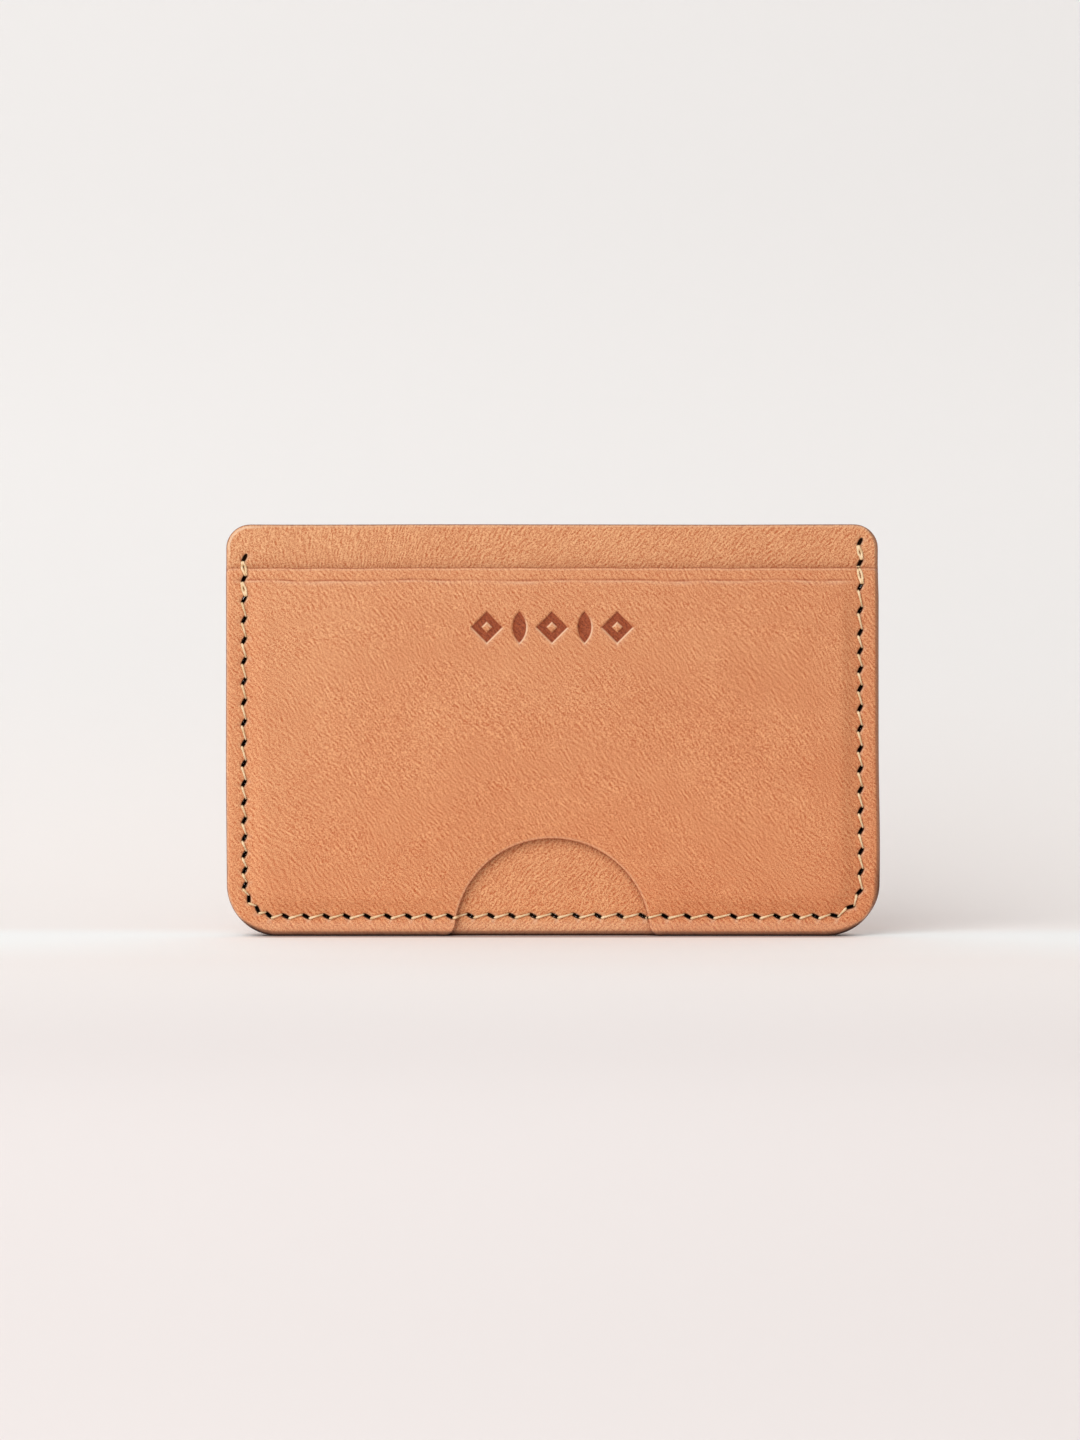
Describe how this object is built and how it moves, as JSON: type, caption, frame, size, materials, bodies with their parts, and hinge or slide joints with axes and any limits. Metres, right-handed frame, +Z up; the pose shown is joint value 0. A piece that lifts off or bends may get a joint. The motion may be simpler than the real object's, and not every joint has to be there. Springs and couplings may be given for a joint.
{
  "type": "card holder",
  "caption": "Slim stitched leather card holder with a front pocket, a centre pocket open at the top and a half-round thumb notch at the bottom.",
  "frame": {"origin": "middle of the bottom edge, halfway through the thickness", "axes": "+Z up towards the pocket mouths, +X to the viewer's right seen from the front, -Y out of the front panel"},
  "size_m": [0.095, 0.0054, 0.06],
  "materials": {
    "front_leather": "natural tan full-grain leather, soft satin",
    "middle_leather": "natural tan full-grain leather with open wrinkles, soft satin",
    "back_leather": "natural tan full-grain leather, soft satin",
    "thread": "waxed straw-coloured twisted thread"
  },
  "bodies": {
    "root": {"front_panel": "front_leather", "middle_panel": "middle_leather", "back_panel": "back_leather", "front_thread": "thread", "back_thread": "thread"}
  },
  "joints": []
}
